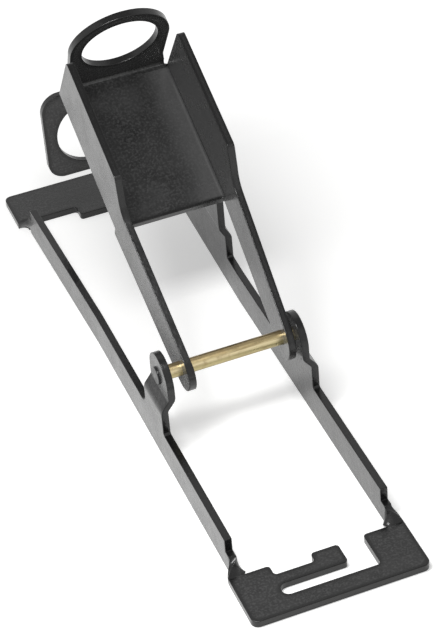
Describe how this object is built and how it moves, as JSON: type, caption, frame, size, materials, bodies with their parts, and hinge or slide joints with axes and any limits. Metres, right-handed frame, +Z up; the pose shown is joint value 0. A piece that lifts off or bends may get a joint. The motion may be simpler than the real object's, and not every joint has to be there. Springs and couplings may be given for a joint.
{
  "type": "padlock hasp attachment",
  "caption": "Stamped steel lock-off hasp: flat-ended rail frame with a staple, and a pinned lever whose ring closes against it for a padlock.",
  "frame": {"origin": "centre of the base's footprint, on its underside", "axes": "+X along the pin towards the side with the staple's tab, +Y from the notched near plate to the far plate, +Z up"},
  "size_m": [0.0426, 0.1584, 0.0727],
  "materials": {
    "frame_paint": "satin",
    "lever_paint": "satin",
    "pin_brass": "satin"
  },
  "bodies": {
    "base": {"base_frame": "frame_paint"},
    "pin": {"pivot_pin": "pin_brass"},
    "lever": {"hasp_lever": "lever_paint"}
  },
  "joints": [
    {"name": "lever_hinge", "type": "hinge", "parent": "base", "child": "pin", "pos_m": [0, -0.02, 0.0192], "axis": [1, 0, 0], "range_deg": [-25, 150]},
    {"name": "lever_slide", "type": "slide", "parent": "pin", "child": "lever", "axis": [1, 0, 0], "range_m": [-0.0033, 0]}
  ]
}
